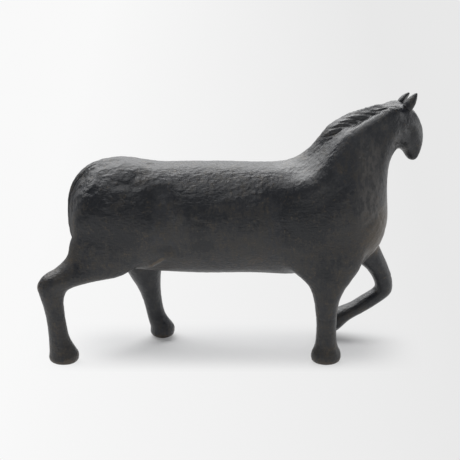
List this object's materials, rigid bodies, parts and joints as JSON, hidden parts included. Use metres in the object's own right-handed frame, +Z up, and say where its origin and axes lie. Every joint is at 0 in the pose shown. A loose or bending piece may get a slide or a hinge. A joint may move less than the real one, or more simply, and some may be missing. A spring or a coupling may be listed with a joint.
{
  "type": "horse figurine",
  "caption": "Walking horse ornament cast in bronze with a dark patina, standing on padded hooves with a fore leg bent, the head turned a little and a hogged mane.",
  "frame": {"origin": "on the floor, under the middle of the overall box", "axes": "+X the way the horse faces, +Y its left side, +Z up"},
  "size_m": [0.3051, 0.0816, 0.2127],
  "materials": {
    "patinated_bronze": "near-black brown patina, waxed",
    "bare_bronze": "bare metal, hidden in the joints",
    "felt": "matte"
  },
  "bodies": {
    "root": {"trunk_casting": "patinated_bronze", "neck_casting": "patinated_bronze", "head_casting": "patinated_bronze", "right_ear": "patinated_bronze", "left_ear": "patinated_bronze", "tail": "patinated_bronze", "right_fore_leg": "patinated_bronze", "left_fore_leg": "patinated_bronze", "right_hind_leg": "patinated_bronze", "left_hind_leg": "patinated_bronze", "neck_joint_pins": "bare_bronze", "head_dowel": "bare_bronze", "leg_joint_pins": "bare_bronze", "core_plugs": "bare_bronze", "belly_plug": "patinated_bronze", "right_fore_pad": "felt", "left_fore_pad": "felt", "right_hind_pad": "felt", "left_hind_pad": "felt"}
  },
  "joints": []
}
